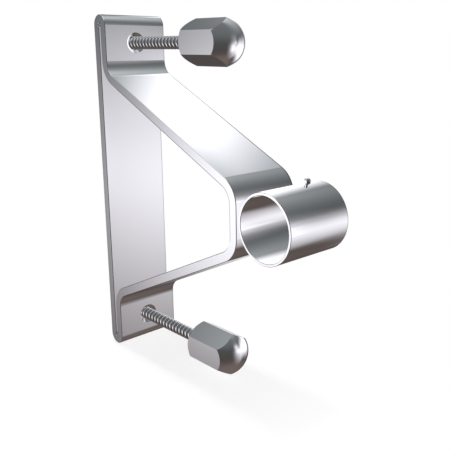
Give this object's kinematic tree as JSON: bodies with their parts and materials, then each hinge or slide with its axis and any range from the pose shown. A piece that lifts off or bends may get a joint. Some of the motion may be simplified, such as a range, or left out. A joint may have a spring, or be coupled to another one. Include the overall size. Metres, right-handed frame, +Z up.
{
  "type": "tube bridge bracket",
  "caption": "Wall bracket of one flat bar folded into a trapezoid loop with hemmed flanges, a short tube sleeve across its nose, and a stud with a domed hexagonal nut in each flange.",
  "frame": {"origin": "centre of the back plate's rear face, which lies on the wall", "axes": "+X out of the wall towards the sleeve, +Y along the sleeve, +Z up"},
  "size_m": [0.2143, 0.0568, 0.275],
  "materials": {
    "bar_steel": "polished",
    "tube_steel": "polished",
    "weld_steel": "satin",
    "stud_steel": "polished",
    "nut_steel": "polished",
    "screw_steel": "polished"
  },
  "bodies": {
    "root": {"strap_frame": "bar_steel", "sleeve_tube": "tube_steel", "upper_weld": "weld_steel", "lower_weld": "weld_steel", "upper_stud": "stud_steel", "lower_stud": "stud_steel", "upper_cap_nut": "nut_steel", "lower_cap_nut": "nut_steel", "clamp_screw": "screw_steel"}
  },
  "joints": []
}
